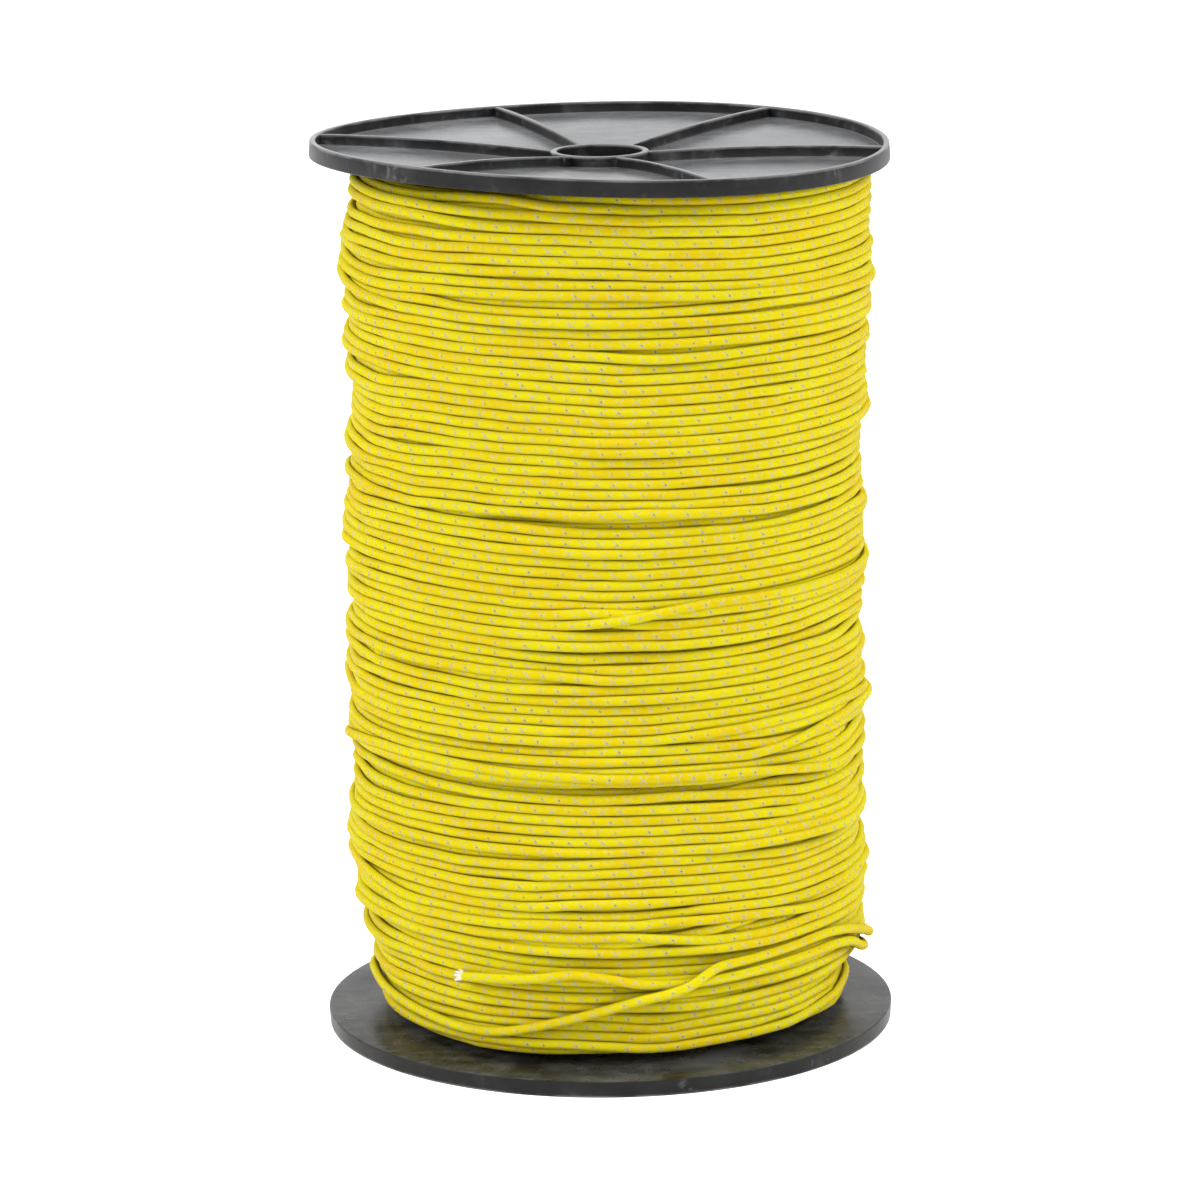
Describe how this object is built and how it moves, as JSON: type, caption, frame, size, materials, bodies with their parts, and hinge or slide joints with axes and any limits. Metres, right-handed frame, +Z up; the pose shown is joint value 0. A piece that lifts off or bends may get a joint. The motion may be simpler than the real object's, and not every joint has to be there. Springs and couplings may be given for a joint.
{
  "type": "fishing line spool",
  "caption": "Bulk spool of bright yellow braided line: black ribbed plastic flanges on a barrel, wound full, with the loose end lying over the turns.",
  "frame": {"origin": "centre of the spool's base, on the surface that it stands on", "axes": "+Z up along the spool's axis, -Y towards the side with the loose end of the line"},
  "size_m": [0.172, 0.172, 0.2695],
  "materials": {
    "flange_plastic": "moulded black plastic, scuffed and a little dusty",
    "barrel_plastic": "black plastic tube",
    "line_yellow": "braided yellow line with pale reflective flecks",
    "line_under": "the same braided line, in shadow between the turns",
    "line_core": "white core strands at the cut end"
  },
  "bodies": {
    "root": {"top_flange": "flange_plastic", "bottom_flange": "flange_plastic", "barrel": "barrel_plastic", "line_inner_layers": "line_under", "line_outer_layer": "line_yellow", "line_tail": "line_yellow", "line_end_core": "line_core"}
  },
  "joints": []
}
